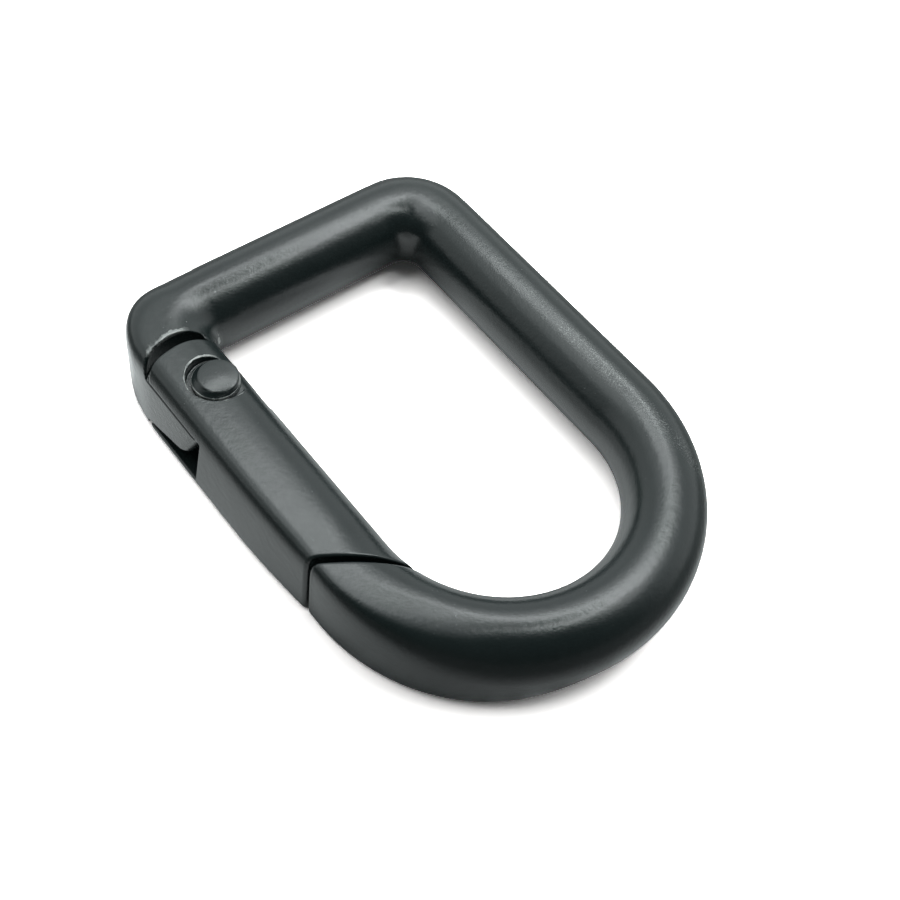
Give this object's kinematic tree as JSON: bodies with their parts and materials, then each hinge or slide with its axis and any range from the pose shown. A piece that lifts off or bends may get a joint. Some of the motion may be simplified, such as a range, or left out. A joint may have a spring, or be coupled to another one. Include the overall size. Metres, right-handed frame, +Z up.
{
  "type": "d-shaped snap hook",
  "caption": "D-shaped ring closed on one side by a sprung gate on a pin. Its flat bar takes a strap and its round end clips on to a ring or loop.",
  "frame": {"origin": "centre of the hook's footprint, on the surface that it lies on", "axes": "+X from the flat bar to the round end, +Y from the gate to the straight leg, +Z up out of the surface"},
  "size_m": [0.048, 0.0344, 0.0079],
  "materials": {
    "ring_paint": "satin black coat on cast zinc alloy, rubbed lighter along edges",
    "pin_paint": "satin black coat on steel, rim of the head rubbed lighter"
  },
  "bodies": {
    "frame": {"frame": "ring_paint"},
    "gate": {"gate": "ring_paint", "hinge_pin": "pin_paint"}
  },
  "joints": [
    {"name": "gate_hinge", "type": "hinge", "parent": "frame", "child": "gate", "pos_m": [-0.0117, -0.01299, 0.0039], "axis": [0, 0, 1], "range_deg": [0, 28], "stiffness_Nm_per_rad": 0.03, "springref_deg": -57.3}
  ]
}
